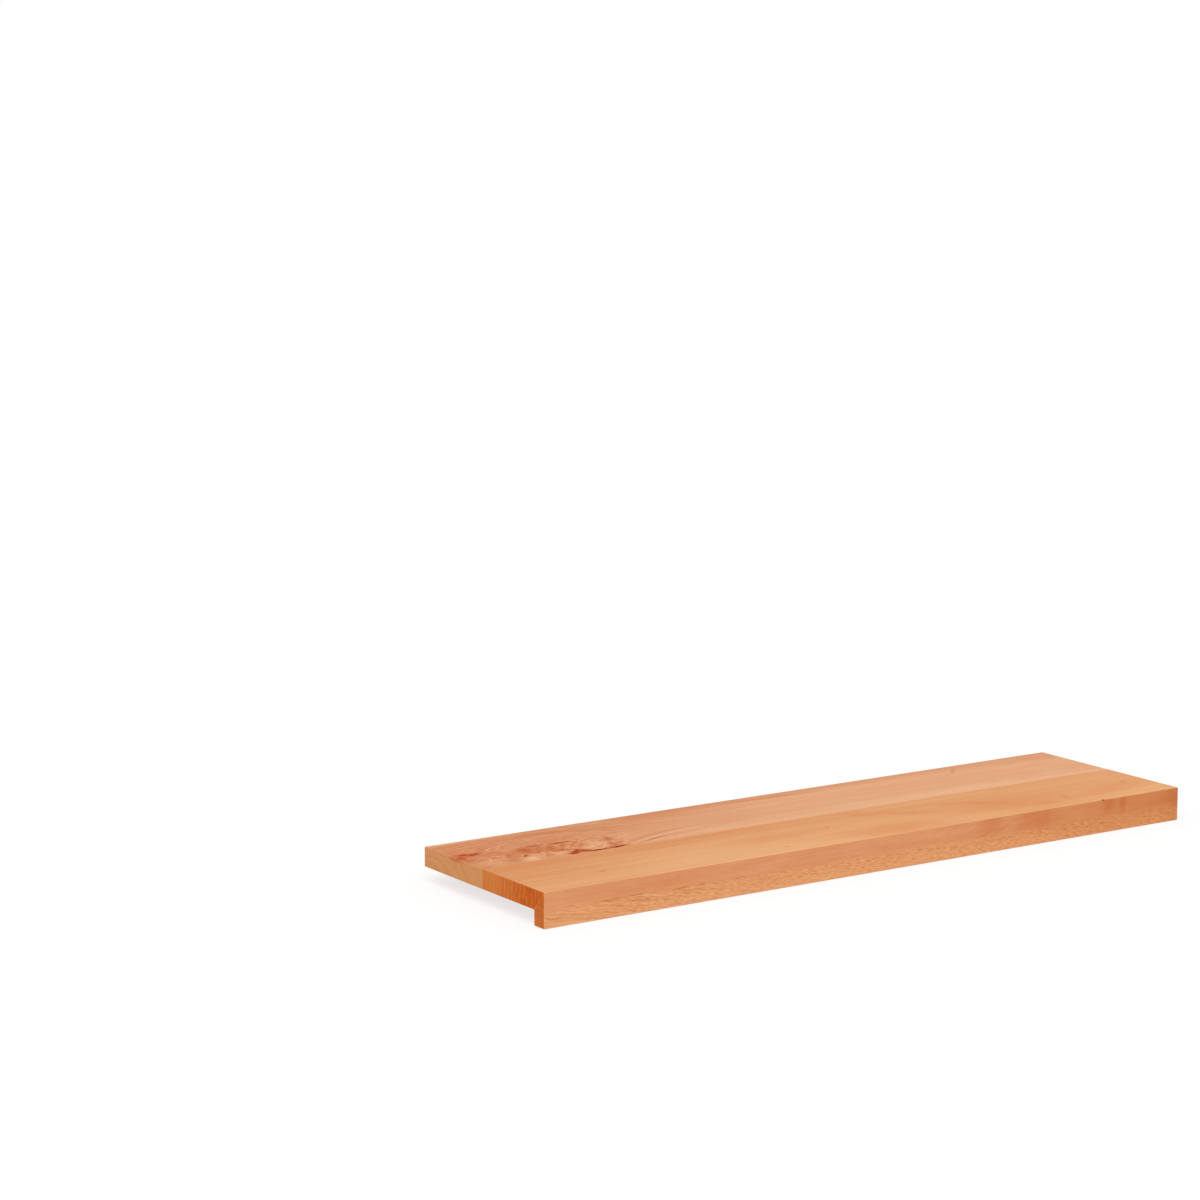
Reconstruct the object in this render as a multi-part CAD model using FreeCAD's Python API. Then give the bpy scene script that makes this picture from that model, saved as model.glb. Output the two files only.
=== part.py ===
import FreeCAD, Part
import os

# Stair tread in solid beech: two boards glued edge to edge, and a deeper strip mitred on along the front
# that stands as the nosing and hangs below the underside as a lip.
# Millimetres, +Z up, +X along the tread. The front faces -Y.
# The origin is midway along the tread, midway from front to back, level with the foot of the lip.

TREAD_LENGTH = 1000.0      # from one end to the other, across the stair
TREAD_DEPTH = 270.0        # from the front face to the back edge
BOARD_THICKNESS = 25.0     # of the two boards that are stepped on
BACK_BOARD_WIDTH = 135.0   # from the back edge to the glue line between the two boards
LIP_HEIGHT = 44.0          # of the front face, from its foot to the walking surface
LIP_THICKNESS = 21.0       # of the strip behind the front face
ARRIS_RADIUS = 1.0         # rounding sanded on every outer edge

V = FreeCAD.Vector
X_END = TREAD_LENGTH / 2
Y_FRONT = -TREAD_DEPTH / 2
Y_BACK = TREAD_DEPTH / 2
Y_SEAM = Y_BACK - BACK_BOARD_WIDTH
Y_LIP_BACK = Y_FRONT + LIP_THICKNESS
Z_TOP = LIP_HEIGHT
Z_UNDERSIDE = LIP_HEIGHT - BOARD_THICKNESS


def prism(section, x_from, x_to):
    """A solid with the given (y, z) section, from one x to another."""
    points = [V(x_from, y, z) for y, z in section]
    return Part.Face(Part.makePolygon(points + points[:1])).extrude(V(x_to - x_from, 0, 0))


def is_inner_corner(edge):
    """True for the one edge that turns inwards, where the lip meets the underside."""
    return all(abs(v.Y - Y_LIP_BACK) < 1e-6 and abs(v.Z - Z_UNDERSIDE) < 1e-6 for v in edge.Vertexes)


# The whole tread, planed and sanded after gluing: an angle section with every outer edge rounded.
tread = prism([(Y_FRONT, 0), (Y_LIP_BACK, 0), (Y_LIP_BACK, Z_UNDERSIDE), (Y_BACK, Z_UNDERSIDE),
               (Y_BACK, Z_TOP), (Y_FRONT, Z_TOP)], -X_END, X_END)
tread = tread.makeFillet(ARRIS_RADIUS, [e for e in tread.Edges if not is_inner_corner(e)])

# Each piece is the part of the tread between its joint faces. A region reaches past the tread on every
# side but its joints. The mitre runs from the front arris to the inner corner, and on below the boards.
PAST = TREAD_LENGTH + TREAD_DEPTH + LIP_HEIGHT
MITRE_RUN = LIP_THICKNESS / BOARD_THICKNESS    # how far back the mitre goes for each millimetre down
mitre_above = (Y_FRONT - MITRE_RUN * PAST, Z_TOP + PAST)
mitre_below = (Y_FRONT + MITRE_RUN * PAST, Z_TOP - PAST)
regions = {
    "nosing_lip": [mitre_above, (mitre_above[0], mitre_below[1]), mitre_below],
    "front_board": [mitre_above, mitre_below, (mitre_below[0], Z_TOP + PAST)],
    "back_board": [(Y_SEAM, -PAST), (Y_BACK + PAST, -PAST), (Y_BACK + PAST, PAST), (Y_SEAM, PAST)],
}
cutters = {name: prism(section, -PAST, PAST) for name, section in regions.items()}
pieces = {
    "nosing_lip": tread.common(cutters["nosing_lip"]),
    "front_board": tread.common(cutters["front_board"]).cut(cutters["back_board"]),
    "back_board": tread.common(cutters["back_board"]),
}

os.makedirs("parts", exist_ok=True)
for name, piece in pieces.items():
    piece.Solids[0].exportStep("parts/" + name + ".step")
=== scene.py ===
import math
from types import SimpleNamespace
import bmesh
import bpy
from mathutils import Matrix, Vector, noise as lattice


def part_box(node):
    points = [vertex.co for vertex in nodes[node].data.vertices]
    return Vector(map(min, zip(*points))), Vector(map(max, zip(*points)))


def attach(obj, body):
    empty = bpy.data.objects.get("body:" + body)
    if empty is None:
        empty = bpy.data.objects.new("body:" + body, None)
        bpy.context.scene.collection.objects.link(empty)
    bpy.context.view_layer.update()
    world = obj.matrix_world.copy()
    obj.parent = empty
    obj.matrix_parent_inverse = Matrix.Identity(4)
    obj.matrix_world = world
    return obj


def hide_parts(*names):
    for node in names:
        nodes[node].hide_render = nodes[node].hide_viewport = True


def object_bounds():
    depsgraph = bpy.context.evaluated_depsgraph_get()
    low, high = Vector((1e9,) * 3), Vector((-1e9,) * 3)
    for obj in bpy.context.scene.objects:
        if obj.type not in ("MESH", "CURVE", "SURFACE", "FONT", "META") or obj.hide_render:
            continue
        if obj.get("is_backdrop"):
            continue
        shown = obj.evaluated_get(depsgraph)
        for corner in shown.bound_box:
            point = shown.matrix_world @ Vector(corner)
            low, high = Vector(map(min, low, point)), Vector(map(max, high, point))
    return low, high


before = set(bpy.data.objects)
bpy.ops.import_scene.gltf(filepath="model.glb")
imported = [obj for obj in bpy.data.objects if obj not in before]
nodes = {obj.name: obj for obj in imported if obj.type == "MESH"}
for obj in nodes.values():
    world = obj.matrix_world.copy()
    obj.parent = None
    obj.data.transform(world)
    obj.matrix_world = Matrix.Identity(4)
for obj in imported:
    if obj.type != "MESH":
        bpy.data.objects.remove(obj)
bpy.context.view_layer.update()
scene = bpy.context.scene

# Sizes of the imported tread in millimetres: u runs from its left end, d from its back edge and h down

MM_PER_M = 1000
low, high = (MM_PER_M * Vector(corner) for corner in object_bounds())
LENGTH = high.x - low.x
DEPTH = high.y - low.y
SEAM = high.y - MM_PER_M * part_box("back_board")[0][1]    # d of the glue line between the two boards
BOARD_THICK = high.z - MM_PER_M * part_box("back_board")[0][2]
LIP_THICK = MM_PER_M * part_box("nosing_lip")[1][1] - low.y


# Node trees written as arithmetic

tree = None    # the one being made


class Field:
    """A number or colour that varies over the wood: one output in the tree being made."""

    def __init__(self, socket):
        self.socket = socket

    def __add__(self, other):
        return math_node("ADD", self, other)

    def __radd__(self, other):
        return math_node("ADD", other, self)

    def __sub__(self, other):
        return math_node("SUBTRACT", self, other)

    def __rsub__(self, other):
        return math_node("SUBTRACT", other, self)

    def __mul__(self, other):
        return math_node("MULTIPLY", self, other)

    def __rmul__(self, other):
        return math_node("MULTIPLY", other, self)

    def __truediv__(self, other):
        return math_node("DIVIDE", self, other)


def open_tree(owner):
    """Starts the tree of a material or of the world."""
    global tree
    owner.use_nodes = True
    tree = owner.node_tree
    tree.nodes.clear()


def make(kind, **settings):
    """A new node in the tree."""
    node = tree.nodes.new("ShaderNode" + kind)
    for name, value in settings.items():
        setattr(node, name, value)
    return node


def output(node, which=0):
    """One output of a node, by its number or name."""
    return Field(node.outputs[which])


def feed(socket, value):
    """Links a field to an input, or sets the input to a plain value."""
    if isinstance(value, Field):
        tree.links.new(value.socket, socket)
    else:
        socket.default_value = value


def math_node(operation, *values):
    """One step of arithmetic."""
    node = make("Math", operation=operation)
    for socket, value in zip(node.inputs, values):
        feed(socket, value)
    return output(node)


def vec(x, y, z=0.0):
    """A place from its three coordinates."""
    node = make("CombineXYZ")
    for socket, value in zip(node.inputs, (x, y, z)):
        feed(socket, value)
    return output(node)


def square(x):
    return x * x


def sqrt(x):
    return math_node("SQRT", x)


def exp(x):
    return math_node("EXPONENT", x)


def sine(x):
    return math_node("SINE", x)


def absolute(x):
    return math_node("ABSOLUTE", x)


def most(*values):
    """The largest of some values."""
    result = values[0]
    for value in values[1:]:
        result = math_node("MAXIMUM", result, value)
    return result


def step(x, start, end):
    """0 before start and 1 past end, with a smooth change between. Start may lie above end."""
    node = make("MapRange", interpolation_type="SMOOTHSTEP")
    feed(node.inputs["Value"], x)
    node.inputs["From Min"].default_value = min(start, end)
    node.inputs["From Max"].default_value = max(start, end)
    node.inputs["To Min"].default_value = float(start > end)
    node.inputs["To Max"].default_value = float(start <= end)
    return output(node)


def band(x, start, end, soft):
    """1 between start and end, with borders that fade over soft to each side."""
    return step(x, start - soft, start + soft) * step(x, end + soft, end - soft)


def noise(place, detail=2.0, rough=0.5, distort=0.0):
    """Cloudy noise of unit grain, mostly within -0.6 to 0.6. Dividing its place by lengths sizes it."""
    node = make("TexNoise", noise_dimensions="3D")
    feed(node.inputs["Vector"], place)
    node.inputs["Scale"].default_value = 1.0
    node.inputs["Detail"].default_value = detail
    node.inputs["Roughness"].default_value = rough
    node.inputs["Distortion"].default_value = distort
    return (output(node) - 0.5) * 3.0


def noise_pair(x, y, z, apart, **settings):
    """Two unlike noises of the same grain: the second is read some way apart from the first."""
    return noise(vec(x, y, z), **settings), noise(vec(x + apart, y, z), **settings)


def srgb(red, green, blue):
    """A colour in display values from 0 to 255, made linear."""
    return [((c / 255 + 0.055) / 1.055) ** 2.4 for c in (red, green, blue)] + [1.0]


def mix(amount, a, b, how="MIX"):
    """Colour a where amount is 0, and b where it is 1."""
    node = make("Mix", data_type="RGBA", blend_type=how, clamp_factor=True)
    feed(node.inputs[0], amount)
    feed(node.inputs[6], a)
    feed(node.inputs[7], b)
    return output(node, 2)


def shade(colour, amount, tone):
    """The colour, with its red, green and blue multiplied by tone where amount is 1."""
    return mix(amount, colour, (*tone, 1.0), "MULTIPLY")


def blob(plane, x, y, half_x, half_y, turn, soft):
    """1 inside an ellipse on the plane, centred at (x, y) and turned by some degrees."""
    inside = make("Mapping", vector_type="TEXTURE")
    feed(inside.inputs["Vector"], plane)
    inside.inputs["Location"].default_value = (x, y, 0.0)
    inside.inputs["Rotation"].default_value = (0.0, 0.0, math.radians(turn))
    inside.inputs["Scale"].default_value = (half_x, half_y, 1.0)
    radius = make("VectorMath", operation="LENGTH")
    feed(radius.inputs[0], output(inside))
    return step(output(radius, "Value"), 1 + soft, 1 - soft)


def marks(plane, ellipses):
    """The strongest of some ellipses on the plane. The last number of each is its strength."""
    return most(*[blob(plane, *ellipse) * strength for *ellipse, strength in ellipses])


# What the three woods share. A colour whose name ends in TONE multiplies what lies under it.

ROUGHNESS = 0.68                     # of dry sanded wood, before its fibres and pores
SPECULAR = 0.04
RELIEF = 0.05                        # height of one unit of relief
END_START, END_FULL = 0.75, 0.1      # distances from a sawn end where its colours start and are full
GLUE_HALF, GLUE_SOFT = 0.5, 0.4      # half width of the glue line in the mitre, and softness of its borders
GLUE_STRENGTH = 0.4
GLUE = srgb(222, 146, 86)

# The dark spot on the upper front arris, which two pieces share: place along it, distance in, half sizes
SPOT_U, SPOT_IN, SPOT_LONG, SPOT_WIDE = 867, 0.4, 2.4, 1.2


def new_material(name):
    """A material whose tree is the one being made."""
    material = bpy.data.materials.new(name)
    open_tree(material)
    return material


def wood_place():
    """The fields u, d and h: millimetres from the left end, the back edge and the walking surface."""
    layout = make("VectorMath", operation="MULTIPLY_ADD")
    feed(layout.inputs[0], output(make("TexCoord"), "Object"))
    layout.inputs[1].default_value = (MM_PER_M, -MM_PER_M, -MM_PER_M)
    layout.inputs[2].default_value = (-low.x, high.y, high.z)
    split = make("SeparateXYZ")
    feed(split.inputs[0], output(layout))
    return [Field(socket) for socket in split.outputs]


def fibres(u, d, h):
    """Fine lengthwise fibre lines and short pores."""
    thread = noise(vec(u / 90, d / 0.9, h / 0.9), detail=3.0, rough=0.6)
    pore = step(noise(vec(u / 2.6, d / 0.22, h / 0.22), detail=1.0), 0.2, 0.42)
    return thread, pore


def end_face(u):
    """1 on the sawn ends, 0 from their arrises inwards."""
    return step(absolute(u - LENGTH / 2), LENGTH / 2 - END_START, LENGTH / 2 - END_FULL)


def end_grain(u, d, h):
    """Fine dark specks of the sawn ends."""
    return step(noise(vec(d / 0.8, h / 0.8, u / 2), detail=2.0), 0.0, 0.7)


def glued(section, d, h):
    """A sawn end with the pale glue line of the mitre, from the front arris to the inner corner."""
    slope = math.hypot(LIP_THICK, BOARD_THICK)
    off = (DEPTH - d) * (BOARD_THICK / slope) - h * (LIP_THICK / slope)
    return mix(band(off, -GLUE_HALF, GLUE_HALF, GLUE_SOFT) * GLUE_STRENGTH, section, GLUE)


def finish_wood(colour, thread, pore, more_rough=0.0, more_relief=0.0):
    """The shader of dry sanded wood. Only its colour, roughness and relief vary."""
    bump = make("Bump")
    bump.inputs["Strength"].default_value = 1.0
    bump.inputs["Distance"].default_value = RELIEF / MM_PER_M
    feed(bump.inputs["Height"], thread * 0.35 - pore * 0.8 + more_relief)
    wood = make("BsdfPrincipled")
    wood.inputs["Specular IOR Level"].default_value = SPECULAR
    feed(wood.inputs["Base Color"], colour)
    feed(wood.inputs["Roughness"], ROUGHNESS + thread * 0.05 + pore * 0.1 + more_rough)
    feed(wood.inputs["Normal"], output(bump))
    feed(make("OutputMaterial").inputs[0], output(wood))


# Back board: pinkish, with a bark inclusion and knots near the left end that the fibres flow round

BACK_DARK = srgb(212, 140, 97)
BACK_PALE = srgb(235, 180, 139)
BACK_RING_TONE = (0.87, 0.77, 0.69)
BACK_RING_PALE = srgb(237, 184, 141)
BACK_FIBRE_TONE = (0.965, 0.95, 0.94)
BACK_PORE_TONE = (0.86, 0.78, 0.72)
SWUNG_TONE = (0.88, 0.79, 0.72)
SWUNG_PALE = srgb(230, 172, 128)
SWEEP_TONE = (0.88, 0.80, 0.72)
SWEEP_CORE_TONE = (0.84, 0.74, 0.64)
SWEEP_PALE = srgb(242, 192, 148)
STRAND_TONE = (0.90, 0.83, 0.77)
STRAND_PALE = srgb(240, 188, 144)
BURL_BROWN = srgb(194, 106, 56)
BURL_CREAM = srgb(241, 187, 140)
BURL_TONE = (1.0, 0.975, 0.92)
KNOT_CREAM = srgb(240, 190, 143)
KNOT_BROWN = srgb(186, 92, 42)
KNOT_DARK = srgb(164, 70, 32)
KNOT_RED = srgb(205, 97, 46)
KNOT_RUST = srgb(164, 60, 8)
BARK_STAIN = srgb(188, 84, 26)
BARK_BROWN = srgb(144, 58, 14)
EDGE_BROWN = srgb(190, 100, 56)
BACK_END = srgb(213, 148, 97)
BACK_END_BLOTCH = srgb(207, 142, 92)
BACK_END_ARC_TONE = (0.88, 0.81, 0.74)
BACK_END_ARC_PALE = srgb(222, 162, 114)
BACK_END_GRAIN_TONE = (0.95, 0.93, 0.91)
END_KNOT_BROWN = srgb(184, 78, 34)

PITH_D, PITH_H = 22, 75    # centre of its growth rings, below the underside

# Knots that the fibres part round: place (u, d), half length and half width
KNOTS = (
    (136, 82, 78, 46),
    (14, 68, 34, 18),
)

# Rings that swing over the knots: centre (u, d) and radius
SWUNG_RINGS = (
    (50, 72, 50),
    (150, 64, 56),
)

# Grain that sweeps from the end of the bark towards the back edge
SWEEP_START = 220    # u of its start
SWEEP_REACH = 36     # how far it comes
SWEEP_LENGTH = 59    # the length over which it does most of that
SWEEP_SHIFT = 3.3    # of all its lines, towards the front

# Pockets that the bark has fallen out of: place (u, d), half length, half width, turn in degrees and depth
BARK_POCKETS = (
    (169, 131.8, 9.0, 2.2, -3, 1.4),
    (184, 131.2, 8.0, 1.0, -2, 0.85),
    (199, 130.8, 11.0, 2.0, -5, 0.85),
    (77.6, 108.8, 4.5, 1.5, -40, 0.5),
)
BARK_RIM_LONG, BARK_RIM_WIDE = 0.6, 0.5    # how far the bark shows past a pocket

# Marks on the top, as ellipses: place (u, d), half sizes along u and d, turn in degrees, softness of the
# border and strength. The first are where the rings hardly show.
QUIET_RINGS = (
    (136, 82, 74, 43, 0, 0.35, 1.0),
    (14, 68, 30, 16, 0, 0.4, 1.0),
)
BURLS = (
    (150, 98, 74, 36, 6, 0.5, 1.0),
    (36, 88, 52, 38, 0, 0.7, 0.7),
)
CREAM_PATCHES = (
    (78, 127, 12, 9, -20, 0.9, 1.0),
    (182, 107, 18, 11, -10, 0.9, 0.8),
    (32, 113, 12, 12, 15, 0.9, 0.5),
    (236, 84, 16, 2.2, -37, 0.9, 0.4),
    (182, 120, 16, 2.0, -24, 0.9, 0.6),
    (238, 99, 17, 4, -15, 0.9, 0.6),
    (230, 102, 12, 6, -15, 0.9, 0.6),
    (268, 130, 28, 4, 0, 0.9, 0.5),
)
BROWN_CLOUDS = (
    (99, 47, 4, 9, 20, 0.9, 0.25),
    (201, 117, 5, 12, 20, 0.9, 0.8),
    (57, 112, 8, 16, 28, 0.9, 0.4),
    (46, 57, 7, 7, -30, 0.9, 0.5),
    (6, 92, 8, 10, 0, 0.9, 0.5),
    (8, 137, 14, 6, 0, 0.9, 0.6),
    (64, 93, 8, 6, -20, 0.8, 0.6),
    (110, 94, 30, 10, 22, 0.9, 0.45),
)
BROWN_SPOTS = (
    (91, 84, 11, 12, 20, 0.7, 1.0),
    (134, 108, 12, 5.5, 12, 0.7, 1.0),
    (124, 92, 4, 11, 30, 0.7, 0.9),
    (143, 90, 3, 9, 30, 0.8, 0.6),
    (210, 90, 5, 11, 20, 0.8, 0.8),
    (100.5, 103, 5, 3.2, -40, 0.8, 1.0),
    (79, 108, 7, 2.6, -40, 0.6, 0.8),
)
DARK_DASHES = (
    (114, 73, 11, 2.8, 6, 0.6, 1.0),
    (147, 75.5, 15, 3.2, 6, 0.6, 1.0),
)
RED_SPOTS = (
    (10, 71, 9, 10, -35, 0.6, 1.0),
    (22, 66, 15, 6, -12, 0.8, 0.4),
    (146, 125, 9, 7, 0, 0.8, 0.8),
)
RUSTY_SPOTS = (
    (17, 64, 5.5, 4, 0, 0.6, 0.9),
    (27.5, 69, 11, 4.2, -12, 0.6, 0.95),
    (4, 78, 5, 6, 0, 0.7, 0.7),
    (146, 119, 4.4, 5.8, 0, 0.6, 1.0),
    (141, 124.5, 8, 4.6, -40, 0.7, 0.9),
    (135, 129.5, 8, 4.6, -8, 0.5, 1.0),
    (154.5, 126, 9.5, 5, 35, 0.6, 1.0),
)
BARK_HALO = (
    (170, 132.6, 13, 3.0, -3, 0.6, 1.0),
    (198, 131.8, 15, 2.8, -5, 0.7, 1.0),
    (184, 131.5, 12, 2.6, -2, 0.7, 1.0),
    (209, 129.5, 7, 2.6, -12, 0.7, 1.0),
)
EDGE_STREAK = (
    (515, 19, 66, 2.0, 2.5, 0.8, 1.0),
)
SLANTED_MARKS = (
    (818, 24, 2.4, 15, 40, 0.9, 0.55),
    (241, 36, 2, 10, 30, 0.9, 0.25),
)

# The same on the left end, by d and h
END_KNOT = (
    (73, 0, 15, 3.2, 0, 0.7, 0.6),
)


def back_board_place():
    """The fields that the steps of this material share."""
    u, d, h = wood_place()
    drift_u, drift_d = noise_pair(u / 17, d / 13, h / 20, 30, detail=1.5, rough=0.45)
    rag_u, rag_d = noise_pair(u / 5, d / 4, h / 6, 40, detail=3.0, rough=0.65)
    at = SimpleNamespace(u=u, d=d, h=h, drift_u=drift_u, drift_d=drift_d, rag_u=rag_u, rag_d=rag_d)
    at.top = step(h, 22, 9)                                      # 1 near the top, 0 at the underside
    at.wide = vec(u + drift_u * 9, d + drift_d * 7)              # plane for marks with wandering borders
    at.ragged = vec(u + rag_u * 4.5, d + rag_d * 3.4)            # plane for marks with ragged borders
    at.wobble = noise(vec(u / 240, d / 45, h / 45), detail=1.0)
    at.mottle = noise(vec(u / 26, d / 15, h / 15), detail=3.0, rough=0.6)
    at.swirl = noise(vec((u + drift_u * 22) / 17, (d + drift_d * 16) / 6.5, h / 12), detail=2.0, rough=0.55)
    return at


def parting(at, u0, d0, half_u, half_d):
    """How far the fibres part round a knot. Inside its core they close up again."""
    off_u = (at.u + at.drift_u * 6 - u0) * (half_d / half_u)
    off_d = at.d + at.drift_d * 4 - d0
    core = 0.8 * half_d ** 2
    return off_d * (half_d ** 2) / most(square(off_u) + square(off_d), core)


def back_board_grain(at):
    """The plain wood: its tone, growth rings, fibres and pores."""
    u, d, h = at.u, at.d, at.h
    run = d
    for knot in KNOTS:
        run = run - parting(at, *knot)
    run = run + at.wobble * 4.0
    ring = sqrt(square(run - PITH_D) + square(h - PITH_H))
    streak = noise(vec(u / 420, run / 9, h / 40), detail=3.0, rough=0.55)
    line = noise(vec(u / 300, ring / 1.9, 0.0), detail=2.0, rough=0.6)
    cloud = noise(vec(u / 70, d / 30, h / 30), detail=2.0, distort=1.2)
    thread, pore = fibres(u, run, h)
    left = step(u, 360, 120)
    calm = 1 - 0.8 * marks(at.wide, QUIET_RINGS)

    paler = step(u, 60, 620) * 0.72 + step(d, 92, 130) * 0.30 - step(d, 34, 4) * 0.34
    patches = (band(u, 190, 330, 60) * band(d, 60, 110, 25) * 0.16
               + band(u, 330, 490, 40) * step(d, 94, 114) * 0.1
               + band(u, 285, 375, 25) * band(d, 112, 125, 5) * 0.14
               - step(u, 780, 900) * (0.05 + step(d, 92, 130) * 0.07))
    uneven = streak * 0.26 + left * at.mottle * 0.4 + step(u, 760, 940) * cloud * 0.22
    colour = mix(paler + patches + uneven, BACK_DARK, BACK_PALE)
    colour = shade(colour, step(line, 0.05, 0.6) * (0.4 + left * 0.6) * calm, BACK_RING_TONE)
    colour = mix(step(line, -0.1, -0.6) * (0.3 + left * 0.4) * calm, colour, BACK_RING_PALE)
    colour = shade(colour, step(thread, -0.1, 0.6), BACK_FIBRE_TONE)
    colour = shade(colour, pore * 0.35, BACK_PORE_TONE)
    return colour, thread, pore


def swung_rings(colour, at):
    """Rings that swing over the two knots towards the back edge."""
    u, d = at.u, at.d
    for u0, d0, radius in SWUNG_RINGS:
        swing = sqrt(square(u - u0) + square(d - d0)) + at.wobble * 5 + at.mottle * 4
        arc = noise(vec(swing / 4.2, u / 90, d / 90), detail=2.0, rough=0.6)
        side = step(u, u0 - 26, u0 + 22) * step(d, d0 + 6, d0 - 24)
        over = band(swing, radius - 14, radius + 16, 12) * side
        colour = shade(colour, over * step(arc, 0.0, 0.5) * 0.3, SWUNG_TONE)
        colour = mix(over * step(arc, 0.0, -0.5) * 0.3, colour, SWUNG_PALE)
    return colour


def sweeping_grain(colour, at):
    """Grain that sweeps away from the end of the bark: a pale line between two darker ones, and strands."""
    u = at.u
    bend = SWEEP_REACH * (1 - exp((SWEEP_START - u) / SWEEP_LENGTH))
    sweep = at.d + bend + at.wobble * 1.5 - SWEEP_SHIFT
    past = step(u, 210, 236) * at.top
    beside = most(band(sweep, 133.5, 136.5, 2.0), band(sweep, 114, 121, 3.0) * 0.7)
    core = band(sweep, 133, 137, 1.6) * band(u, 240, 278, 14)
    between = band(u, 250, 350, 40) * band(sweep, 126.5, 129.5, 2.6)
    strand = noise(vec(u / 260, sweep / 1.6, 5.0), detail=2.0, rough=0.6)
    strands = past * step(u, 420, 320) * band(sweep, 104, 150, 10)
    colour = shade(colour, past * step(u, 350, 280) * beside, SWEEP_TONE)
    colour = shade(colour, past * core, SWEEP_CORE_TONE)
    colour = mix(past * between * 0.75, colour, SWEEP_PALE)
    colour = shade(colour, strands * step(strand, 0.05, 0.5), STRAND_TONE)
    return mix(strands * step(strand, -0.05, -0.5) * 0.5, colour, STRAND_PALE)


def burl_swirls(colour, at):
    """Disturbed grain round the knots, in brown and cream swirls."""
    burl = at.top * marks(at.wide, BURLS)
    colour = mix(burl * step(at.swirl, -0.15, 0.5) * 0.75, colour, BURL_BROWN)
    colour = mix(burl * step(at.swirl, -0.1, -0.6) * 0.85, colour, BURL_CREAM)
    return shade(colour, burl, BURL_TONE)


def knot_colours(colour, at):
    """Patches and spots of the knots, with uneven borders."""
    brown = most(marks(at.wide, BROWN_CLOUDS), marks(at.ragged, BROWN_SPOTS))
    colour = mix(at.top * marks(at.wide, CREAM_PATCHES) * (0.6 - at.swirl * 0.5), colour, KNOT_CREAM)
    colour = mix(at.top * brown * 0.78, colour, KNOT_BROWN)
    colour = mix(at.top * marks(at.ragged, DARK_DASHES) * 0.85, colour, KNOT_DARK)
    colour = mix(at.top * marks(at.wide, RED_SPOTS) * 0.85, colour, KNOT_RED)
    return mix(at.top * marks(at.ragged, RUSTY_SPOTS) * (0.95 + at.mottle * 0.4), colour, KNOT_RUST)


def bark_mask(at):
    """1 on the bark: the rims of the pockets, and all that lies below the top inside them."""
    rims = []
    insides = []
    for u0, d0, half_u, half_d, turn, depth in BARK_POCKETS:
        rims.append((u0, d0, half_u + BARK_RIM_LONG, half_d + BARK_RIM_WIDE, turn, 0.5, min(1.0, depth)))
        insides.append((u0, d0, half_u * 1.5, half_d * 1.5, turn, 0.2, min(1.0, depth + 0.15)))
    return most(marks(at.ragged, rims), marks(vec(at.u, at.d), insides) * step(at.h, 0.04, 0.25))


def bark_colours(colour, at, bark):
    """The bark and the stained wood along it."""
    colour = mix(at.top * marks(at.ragged, BARK_HALO) * 0.7, colour, BARK_STAIN)
    return mix(at.top * bark * 0.92, colour, BARK_BROWN)


def edge_marks(colour, at):
    """A streak along the back edge and two small slanted marks."""
    thin = noise(vec(at.u / 40, at.d / 30, 7.0), detail=1.0)
    mark = most(marks(vec(at.u, at.d + thin * 3), EDGE_STREAK), marks(at.ragged, SLANTED_MARKS))
    return mix(at.top * mark * 0.65, colour, EDGE_BROWN)


def back_board_end(at):
    """The sawn ends: browner, with the rings as arcs, and a knot at the top of the left one."""
    u, d, h = at.u, at.d, at.h
    ring = sqrt(square(d - PITH_D) + square(h - PITH_H)) + at.wobble * 2 + at.mottle * 0.8
    arc = noise(vec(ring / 2.1, d / 60, h / 60), detail=2.0, rough=0.6)
    arched = step(d, 130, 40)
    knot = step(u, LENGTH / 2, 0) * marks(vec(d + at.rag_u * 3, h + at.rag_d * 1.5), END_KNOT)
    section = mix(0.5 + at.mottle * 0.6, BACK_END, BACK_END_BLOTCH)
    section = shade(section, step(arc, 0.0, 0.5) * arched, BACK_END_ARC_TONE)
    section = mix(step(arc, 0.0, -0.5) * arched * 0.4, section, BACK_END_ARC_PALE)
    section = shade(section, end_grain(u, d, h), BACK_END_GRAIN_TONE)
    return mix(knot, section, END_KNOT_BROWN)


def beech_back_board():
    material = new_material("beech_back_board")
    at = back_board_place()
    bark = bark_mask(at)
    colour, thread, pore = back_board_grain(at)
    colour = swung_rings(colour, at)
    colour = sweeping_grain(colour, at)
    colour = burl_swirls(colour, at)
    colour = knot_colours(colour, at)
    colour = bark_colours(colour, at, bark)
    colour = edge_marks(colour, at)
    colour = mix(end_face(at.u), colour, back_board_end(at))
    finish_wood(colour, thread, pore, bark * 0.15, at.top * bark * at.rag_u * 4.0)
    return material


# Front board: golden, with the rings on edge and soft reddish flames towards the right

FRONT_DARK = srgb(219, 149, 98)
FRONT_PALE = srgb(240, 185, 134)
FRONT_RING_TONE = (0.95, 0.91, 0.86)
FIBRE_TONE = (0.965, 0.95, 0.935)      # on the lip too, like the next two
PORE_TONE = (0.86, 0.78, 0.70)
END_GRAIN_TONE = (0.94, 0.91, 0.88)
STAIN_RED = srgb(217, 134, 78)
FLAME_RED = srgb(216, 124, 70)
RIPPLE_PALE = srgb(240, 186, 134)
SPECK_BROWN = srgb(150, 76, 34)
FRONT_END_BACK = srgb(212, 128, 64)    # the sawn ends at the seam, and next at the front
FRONT_END_FRONT = srgb(206, 104, 38)
RIB_TONE = (0.86, 0.77, 0.66)
HAIR_TONE = (0.90, 0.83, 0.75)
HAIR_PALE = srgb(224, 140, 70)
PATCH_TONE = (0.90, 0.82, 0.72)

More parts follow.
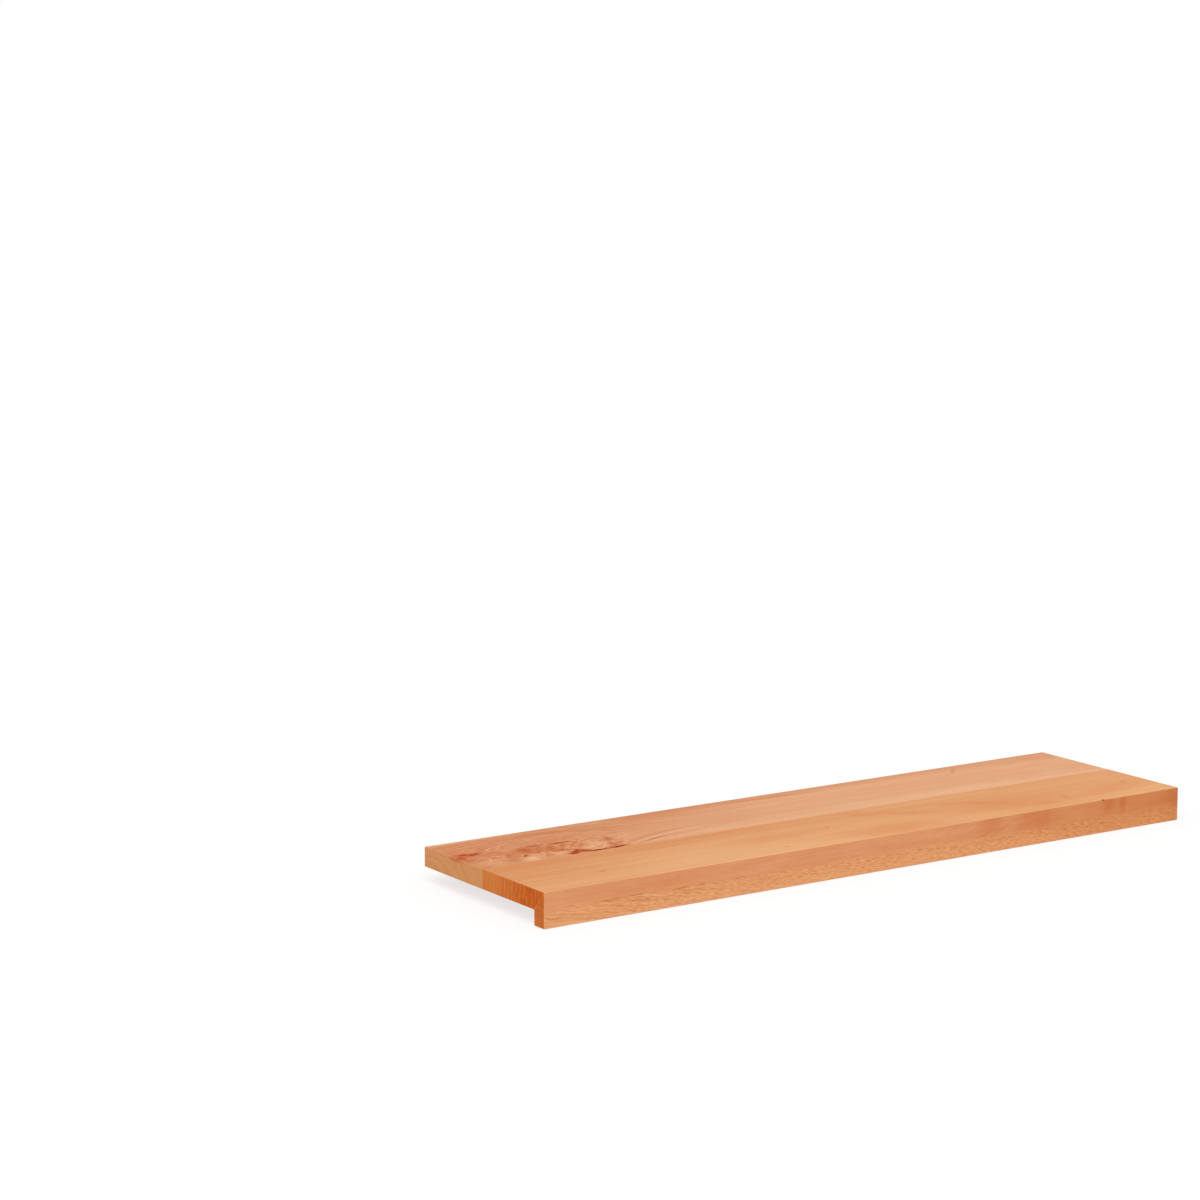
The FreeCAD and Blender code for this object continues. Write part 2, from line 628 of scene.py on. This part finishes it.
RING_LEAN = 0.12       # how far its rings lean over for each millimetre down
RIB_PITCH = 8.2        # of the upright ribs on its sawn ends
RIPPLE_PITCH = 13.0    # of the pale ripples near its front edge

# Marks on the top, written as those of the back board
STAINS = (
    (330, 148, 190, 8, 2, 0.9, 0.5),
    (575, 170, 62, 11, 24, 0.9, 0.7),
    (395, 200, 76, 14, 0, 0.95, 0.6),
    (545, 245, 80, 20, 4, 0.95, 0.9),
    (60, 146, 75, 8, 0, 0.9, 0.5),
    (250, 161, 60, 7, 2, 0.9, 0.4),
    (60, 203, 90, 8, 0, 0.9, 0.5),
    (70, 232, 90, 14, 0, 0.95, 0.4),
)
FLAMES = (
    (735, 202, 40, 9, 26, 0.9, 1.0),
    (700, 184, 32, 6, 18, 0.9, 0.7),
    (790, 240, 40, 14, 0, 0.9, 0.85),
    (905, 228, 80, 20, -8, 0.95, 0.6),
    (650, 205, 50, 5, 26, 0.9, 0.4),
    (760, 226, 100, 34, 6, 0.95, 0.7),
)
CROSS_FLAME = (
    (838, 230, 8, 18, 14, 0.9, 1.0),
)
SPECKS = (
    (115, 222, 5, 2.2, -20, 0.8, 0.45),
    (370, 245, 2.6, 2.4, 0, 0.8, 0.3),
    (961, 204, 8, 3, -32, 0.9, 0.25),
    (473, 193, 3, 2, 0, 0.7, 0.4),
    (SPOT_U, DEPTH - SPOT_IN, SPOT_LONG, SPOT_WIDE, 0, 0.6, 1.0),
)


def front_board_run(u, d, h):
    """Place across the rings, which lean, wander and curl towards the right."""
    wobble = noise(vec(u / 300, d / 60, h / 60), detail=1.0)
    bend = noise(vec(u / 130 + 9, d / 55, h / 55), detail=2.0)
    curl = step(u, 480, 760)
    return d + RING_LEAN * (h - 12) + wobble * 7 + bend * curl * 10 + (u - LENGTH / 2) * 0.012


def front_board_grain(u, d, h, run):
    """The plain wood: its tone, growth rings, fibres and pores."""
    streak = noise(vec(u / 520, run / 13, h / 60), detail=3.0, rough=0.5)
    line = noise(vec(u / 420, run / 2.8, 3.0), detail=2.0, rough=0.6)
    thread, pore = fibres(u, run, h)
    tone = (step(d, SEAM, DEPTH - 8) * 0.50 + step(u, 0, 300) * 0.22 + streak * 0.25
            + step(u, 300, 700) * step(d, DEPTH - 60, SEAM) * 0.14)
    colour = mix(tone, FRONT_DARK, FRONT_PALE)
    colour = shade(colour, step(line, 0.0, 0.6), FRONT_RING_TONE)
    colour = shade(colour, step(thread, -0.1, 0.6), FIBRE_TONE)
    colour = shade(colour, pore * 0.35, PORE_TONE)
    return colour, thread, pore


def heart_stain(colour, u, d, h):
    """Reddish bands near the seam, flames that swing towards the front, pale ripples and a few specks."""
    rag = noise(vec(u / 40, d / 14, h / 30), detail=3.0)
    sway = noise(vec(u / 34 + 20, d / 20, h / 30), detail=3.0)
    plane = vec(u + sway * 18, d + rag * 7)
    flame = most(marks(plane, FLAMES), marks(vec(u + rag * 7, d + sway * 8), CROSS_FLAME))
    stir = noise(vec(u / 34, d / 26, 0.0), detail=2.0)
    ripple = sine((u + d * 0.3 + stir * 11) * (2 * math.pi / RIPPLE_PITCH))
    rippled = band(u, 600, 725, 40) * step(d, 218, 262)
    speck = marks(vec(u + rag * 2, d + sway * 2), SPECKS)
    colour = mix(marks(plane, STAINS) * 0.6, colour, STAIN_RED)
    colour = mix(flame * 0.6, colour, FLAME_RED)
    colour = mix(rippled * step(ripple, -0.2, 0.9) * (0.2 + rag * 0.15), colour, RIPPLE_PALE)
    return mix(speck * step(h, 8, 3) * 0.7, colour, SPECK_BROWN)


def front_board_end(u, d, h, run):
    """The sawn ends: orange-brown and darker towards the front, with upright ribs."""
    wave = noise(vec(d / 16, h / 12, 0.0))
    rib = sine((d + RING_LEAN * h + wave * 3.2) * (2 * math.pi / RIB_PITCH))
    ribbed = (0.25 + step(d, SEAM + 30, DEPTH - 70) * 0.75) * (0.85 + noise(vec(d / 14, h / 6, 8.0)) * 0.7)
    hair = noise(vec((run + noise(vec(d / 9, h / 9, 0.0)) * 1.6) / 1.9, h / 30, 0.0), detail=2.0)
    patch = noise(vec(d / 11, h / 9, 5.0), detail=2.0)
    section = mix(step(d, SEAM, DEPTH - 16), FRONT_END_BACK, FRONT_END_FRONT)
    section = shade(section, step(rib, -0.4, 0.9) * ribbed, RIB_TONE)
    section = shade(section, step(hair, -0.1, 0.5), HAIR_TONE)
    section = mix(step(hair, -0.2, -0.6) * 0.35, section, HAIR_PALE)
    section = shade(section, step(patch, -0.1, 0.6) * step(d, SEAM + 20, DEPTH - 40), PATCH_TONE)
    section = shade(section, end_grain(u, d, h), END_GRAIN_TONE)
    return glued(section, d, h)


def beech_front_board():
    material = new_material("beech_front_board")
    u, d, h = wood_place()
    run = front_board_run(u, d, h)
    colour, thread, pore = front_board_grain(u, d, h, run)
    colour = heart_stain(colour, u, d, h)
    colour = mix(end_face(u), colour, front_board_end(u, d, h, run))
    finish_wood(colour, thread, pore)
    return material


# Nosing lip: a smooth upper part with reddish streaks, and a lower part full of short slanted flecks

SMOOTH_DARK = srgb(214, 142, 97)
SMOOTH_PALE = srgb(225, 160, 115)
SLANT_TONE = (0.93, 0.88, 0.85)
SMOOTH_GRAIN_TONE = (0.965, 0.945, 0.925)
BLUSH_RED = srgb(212, 126, 80)
FLUSH_RED = srgb(202, 106, 56)
FLECKED_DARK = srgb(216, 146, 98)
FLECKED_PALE = srgb(229, 168, 118)
FLECK_TONE = (0.84, 0.71, 0.60)
FLECK_PALE = srgb(240, 186, 132)
ARCH_PALE = srgb(238, 183, 132)
LINE_BROWN = srgb(176, 88, 50)
RIGHT_TONE = (0.90, 0.77, 0.62)        # towards the right end, and next over its last stretch
LAST_TONE = (0.84, 0.74, 0.64)
SPOT_BROWN = srgb(110, 46, 20)
LIP_END_TOP = srgb(204, 104, 40)       # the sawn ends at the top, and next lower down
LIP_END_LOWER = srgb(202, 112, 54)
LIP_RIB_TONE = (0.84, 0.74, 0.64)

FLECK_EDGE = 21.5    # h of the border between the two parts at the left end
FLECK_FALL = 2.0     # how much lower that border is at the right end
DARK_LINE = 21.9     # h of the broken dark line near it
LAST_STRETCH = 40    # length of the darker stretch at the right end

# Marks on the front face, written as those of the back board but by u and h
FLUSHES = (
    (676, 9, 18, 14, 0, 0.9, 0.32),
    (755, 10, 28, 13, 0, 0.9, 0.42),
    (876, 6, 9, 13, 0, 0.9, 0.38),
    (902, 6, 4, 15, 0, 0.9, 0.5),
    (996, 9, 26, 18, 0, 0.9, 0.25),
)
ARRIS_SPOT = (
    (SPOT_U, SPOT_IN, SPOT_LONG, SPOT_WIDE, 0, 0.6, 0.8),
)


def nosing_lip_place():
    """The fields that the steps of this material share."""
    u, d, h = wood_place()
    at = SimpleNamespace(u=u, d=d, h=h)
    at.down = h + (DEPTH - d)    # down the front face, and on across the foot
    at.run = h + noise(vec(u / 200, d / 40, h / 40), detail=1.0) * 4
    at.streak = noise(vec(u / 380, at.run / 6, d / 40), detail=3.0, rough=0.55)
    return at


def smooth_part(at):
    """The upper part: streaks, slanted grain in one stretch, and reddish marks."""
    u, d, h = at.u, at.d, at.h
    patch = noise(vec(u / 60, h / 14, d / 20), detail=3.0)
    slant = noise(vec((h * 2.2 + u * 0.9) / 5.0, (u - h) / 60, d / 40), detail=2.0)
    grain = noise(vec(u / 26, (at.down - u * 0.04) / 1.3, d / 6), detail=2.0)
    rag_u, rag_h = noise_pair(u / 9, h / 14, d / 14, 30, detail=3.0)
    blush = most(band(u, 60, 215, 50), band(u, 365, 435, 30) * 0.8) * step(patch, -0.3, 0.4)
    colour = mix(0.5 + at.streak * 0.35 + patch * 0.35, SMOOTH_DARK, SMOOTH_PALE)
    colour = shade(colour, band(u, 580, 720, 30) * step(slant, 0.05, 0.5) * 0.8, SLANT_TONE)
    colour = mix(blush * (0.55 - step(h, 9, 19) * 0.25), colour, BLUSH_RED)
    colour = shade(colour, step(grain, -0.1, 0.5), SMOOTH_GRAIN_TONE)
    return mix(marks(vec(u + rag_u * 6, h + rag_h * 6), FLUSHES), colour, FLUSH_RED)


def flecked_part(at):
    """The lower part: ray flecks as short wavy strokes along the grain, some dark and some pale."""
    u, d, h, down = at.u, at.d, at.h, at.down
    stir = noise(vec(u / 18, down / 8, d / 8), detail=1.0)
    strokes = (noise(vec((u + down) / 10, (down - u * 0.13 + stir * 1.2) / 1.05, d / 6), detail=1.0),
               noise(vec((u - down) / 8 + 30, down - u * 0.04 - stir * 1.2, d / 6), detail=1.0))
    strong = (0.58 + 0.35 * noise(vec(u / 50, h / 12, 9.0), detail=1.0)) * (0.4 + step(u, 50, 170) * 0.6)
    arch = noise(vec((down - u * 0.12 + stir * 2) / 1.9, u / 90, d / 30), detail=2.0)
    arched = 0.3 + step(u, 280, 80) * 0.5
    colour = mix(0.45 + at.streak * 0.3 + step(h, 28, 44) * 0.35, FLECKED_DARK, FLECKED_PALE)
    for stroke in strokes:
        colour = shade(colour, step(stroke, 0.0, 0.45) * strong, FLECK_TONE)
        colour = mix(step(stroke, -0.05, -0.5) * strong * 0.55, colour, FLECK_PALE)
    colour = shade(colour, step(arch, 0.0, 0.5) * arched, FLECK_TONE)
    return mix(step(arch, -0.05, -0.5) * arched * 0.7, colour, ARCH_PALE)


def nosing_lip_end(u, d, h):
    """The sawn ends: orange-brown, with curved ribs."""
    ring = sqrt(square(DEPTH - d - 10) + square(h - 66) * 0.5)
    rib = noise(vec(ring / 2.0, h / 40, d / 40), detail=1.0)
    section = mix(step(h, 2, 30), LIP_END_TOP, LIP_END_LOWER)
    section = shade(section, step(rib, -0.15, 0.5) * 0.9, LIP_RIB_TONE)
    section = shade(section, end_grain(u, d, h), END_GRAIN_TONE)
    return glued(section, d, h)


def beech_nosing_lip():
    material = new_material("beech_nosing_lip")
    at = nosing_lip_place()
    u, d, h = at.u, at.d, at.h
    thread, pore = fibres(u, d, at.run)
    edge = FLECK_EDGE + (u / LENGTH) * FLECK_FALL + noise(vec(u / 45, d / 30, 0.0), detail=3.0) * 1.6
    lower = step(h - edge, -4.5, 4.5)
    line = band(h - DARK_LINE - noise(vec(u / 50, 4.0), detail=2.0) * 1.6, -0.6, 0.6, 0.9)
    broken = band(u, 35, 285, 25) * step(noise(vec(u / 20, h / 4, 2.0), detail=2.0), -0.2, 0.35)
    colour = mix(lower, smooth_part(at), flecked_part(at))
    colour = mix(line * broken * 0.75, colour, LINE_BROWN)
    colour = shade(colour, step(u, 540, 960) * (1 - lower * 0.2), RIGHT_TONE)
    colour = shade(colour, step(u, LENGTH - LAST_STRETCH, LENGTH) * 0.5, LAST_TONE)
    colour = shade(colour, step(thread, -0.1, 0.6), FIBRE_TONE)
    colour = shade(colour, pore * 0.3, PORE_TONE)
    colour = mix(marks(vec(u, h), ARRIS_SPOT), colour, SPOT_BROWN)
    colour = mix(end_face(u), colour, nosing_lip_end(u, d, h))
    finish_wood(colour, thread, pore)
    return material


# Shape of the back board: the bark has fallen out of its pockets in the top

WELD = 1e-6                # points of the board that are nearer, in metres, are one
SLIVER = 2e-5              # the cut leaves no edge that is shorter, in metres
FLAT = 0.9999              # a face is flat where its normal comes this near to an axis
UNEVEN, LUMPS = 0.3, 3     # how far the lenses swell, as a share of their size, and how often


def hollow(u0, d0, half_u, half_d, turn, depth):
    """An uneven lens centred on the top, whose lower half is the shape of one pocket."""
    lens = bmesh.new()
    bmesh.ops.create_icosphere(lens, subdivisions=4, radius=1.0)
    for vertex in lens.verts:
        vertex.co *= 1 + UNEVEN * lattice.noise(LUMPS * vertex.co + Vector((u0, d0, 0)))
    size = Matrix.Diagonal((half_u / MM_PER_M, half_d / MM_PER_M, depth / MM_PER_M, 1))
    place = Matrix.Translation(Vector((low.x + u0, high.y - d0, high.z)) / MM_PER_M)
    lens.transform(place @ Matrix.Rotation(math.radians(-turn), 4, "Z") @ size)
    mesh = bpy.data.meshes.new("hollow")
    lens.to_mesh(mesh)
    lens.free()
    mesh.shade_smooth()
    return bpy.data.objects.new("hollow", mesh)


def welded_blank():
    """The mesh of the back board, with its faces joined along their edges."""
    solid = bmesh.new()
    solid.from_mesh(nodes["back_board"].data)
    bmesh.ops.remove_doubles(solid, verts=solid.verts, dist=WELD)
    blank = bpy.data.meshes.new("back_board_blank")
    solid.to_mesh(blank)
    solid.free()
    if "custom_normal" in blank.attributes:
        blank.attributes.remove(blank.attributes["custom_normal"])
    return blank


def close_slivers(mesh):
    """Closes up the shortest edges and the faces without area that the cut leaves."""
    cleaned = bmesh.new()
    cleaned.from_mesh(mesh)
    bmesh.ops.remove_doubles(cleaned, verts=cleaned.verts, dist=SLIVER)
    bmesh.ops.dissolve_degenerate(cleaned, edges=cleaned.edges, dist=SLIVER)
    bmesh.ops.triangulate(cleaned, faces=cleaned.faces)
    cleaned.to_mesh(mesh)
    cleaned.free()


def carved_back_board():
    """A copy of the back board with the pockets cut out. Flat faces stay flat, and the rest is smooth."""
    board = bpy.data.objects.new("carved_back_board", welded_blank())
    scene.collection.objects.link(board)
    cutters = [hollow(*pocket) for pocket in BARK_POCKETS]
    for cutter in cutters:
        scene.collection.objects.link(cutter)
        cut = board.modifiers.new("pocket", "BOOLEAN")
        cut.operation = "DIFFERENCE"
        cut.solver = "EXACT"
        cut.object = cutter
    carved = bpy.data.meshes.new_from_object(board.evaluated_get(bpy.context.evaluated_depsgraph_get()))
    board.modifiers.clear()
    board.data = carved
    for cutter in cutters:
        bpy.data.objects.remove(cutter)
    close_slivers(carved)
    for face in carved.polygons:
        face.use_smooth = max(abs(c) for c in face.normal) < FLAT
    return board


back_board = carved_back_board()
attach(back_board, "root")
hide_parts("back_board")

for board, finish in ((back_board, beech_back_board), (nodes["front_board"], beech_front_board),
                      (nodes["nosing_lip"], beech_nosing_lip)):
    board.data.materials.clear()
    board.data.materials.append(finish())


# Stage: a pale floor that keeps a light shadow, even soft light, and a white background

FLOOR_REACH = 60                       # from its middle to each side, in metres
FLOOR_DROP = 0.0005                    # below the tread, in metres
FLOOR_PALE = (0.95, 0.95, 0.95, 1)
FLOOR_GLOW, GLOW_SHARE = 1.03, 0.7     # strength of its glow to the camera, and how much of that shows
WHITE = (1, 1, 1, 1)
SKY_LIGHT, SKY_SEEN = 0.55, 1.0        # strength of the sky as soft light, and where it is seen or mirrored
LAMP_STRENGTH = 0.56 * math.pi
LAMP_SPREAD = math.radians(50)
TO_LAMP = Vector((-0.38, -0.46, 0.82))


def pale_floor():
    """A matt floor that mostly glows white to the camera, so that only a light shadow shows."""
    material = new_material("pale_floor")
    matt = make("BsdfDiffuse")
    matt.inputs["Color"].default_value = FLOOR_PALE
    glow = make("Emission")
    glow.inputs["Color"].default_value = WHITE
    glow.inputs["Strength"].default_value = FLOOR_GLOW
    blend = make("MixShader")
    feed(blend.inputs[0], output(make("LightPath"), "Is Camera Ray") * GLOW_SHARE)
    feed(blend.inputs[1], output(matt))
    feed(blend.inputs[2], output(glow))
    feed(make("OutputMaterial").inputs[0], output(blend))
    return material


corners = [(x * FLOOR_REACH, y * FLOOR_REACH, 0) for x, y in ((-1, -1), (1, -1), (1, 1), (-1, 1))]
floor_mesh = bpy.data.meshes.new("floor")
floor_mesh.from_pydata(corners, [], [(0, 1, 2, 3)])
floor_mesh.materials.append(pale_floor())
floor = bpy.data.objects.new("floor", floor_mesh)
floor.location.z = low.z / MM_PER_M - FLOOR_DROP
scene.collection.objects.link(floor)
floor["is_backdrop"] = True

world = bpy.data.worlds.new("studio")
scene.world = world
open_tree(world)
rays = make("LightPath")
seen = most(*[output(rays, name) for name in ("Is Camera Ray", "Is Glossy Ray", "Is Transmission Ray")])
sky = make("Background")
sky.inputs["Color"].default_value = WHITE
feed(sky.inputs["Strength"], SKY_LIGHT + seen * (SKY_SEEN - SKY_LIGHT))
feed(make("OutputWorld").inputs[0], output(sky))

lamp = bpy.data.lights.new("softbox", "SUN")
lamp.energy = LAMP_STRENGTH
lamp.angle = LAMP_SPREAD
softbox = bpy.data.objects.new("softbox", lamp)
softbox.rotation_mode = "QUATERNION"
softbox.rotation_quaternion = TO_LAMP.to_track_quat("Z", "Y")
scene.collection.objects.link(softbox)

scene.view_settings.view_transform = "Standard"


# Camera, fitted to the corners of the tread in a square picture

AZIMUTH, ELEVATION = math.radians(-33.76), math.radians(9.35)
AIM, DISTANCE = Vector((-0.3214, 0.0150, 0.3502)), 3.9369    # in metres
SENSOR, FOCAL_LENGTH = 36.0, 97.67                           # in millimetres
FAR = 200.0                                                  # nothing beyond is drawn, in metres

lens = bpy.data.cameras.new("camera")
lens.sensor_width = SENSOR
lens.lens = FOCAL_LENGTH
lens.clip_end = FAR
camera = bpy.data.objects.new("camera", lens)
back = Vector((math.sin(AZIMUTH) * math.cos(ELEVATION), -math.cos(AZIMUTH) * math.cos(ELEVATION),
               math.sin(ELEVATION)))
right = Vector((math.cos(AZIMUTH), math.sin(AZIMUTH), 0))
facing = Matrix((right, back.cross(right), back)).transposed().to_4x4()
camera.matrix_world = Matrix.Translation(AIM + back * DISTANCE) @ facing
scene.collection.objects.link(camera)
scene.camera = camera
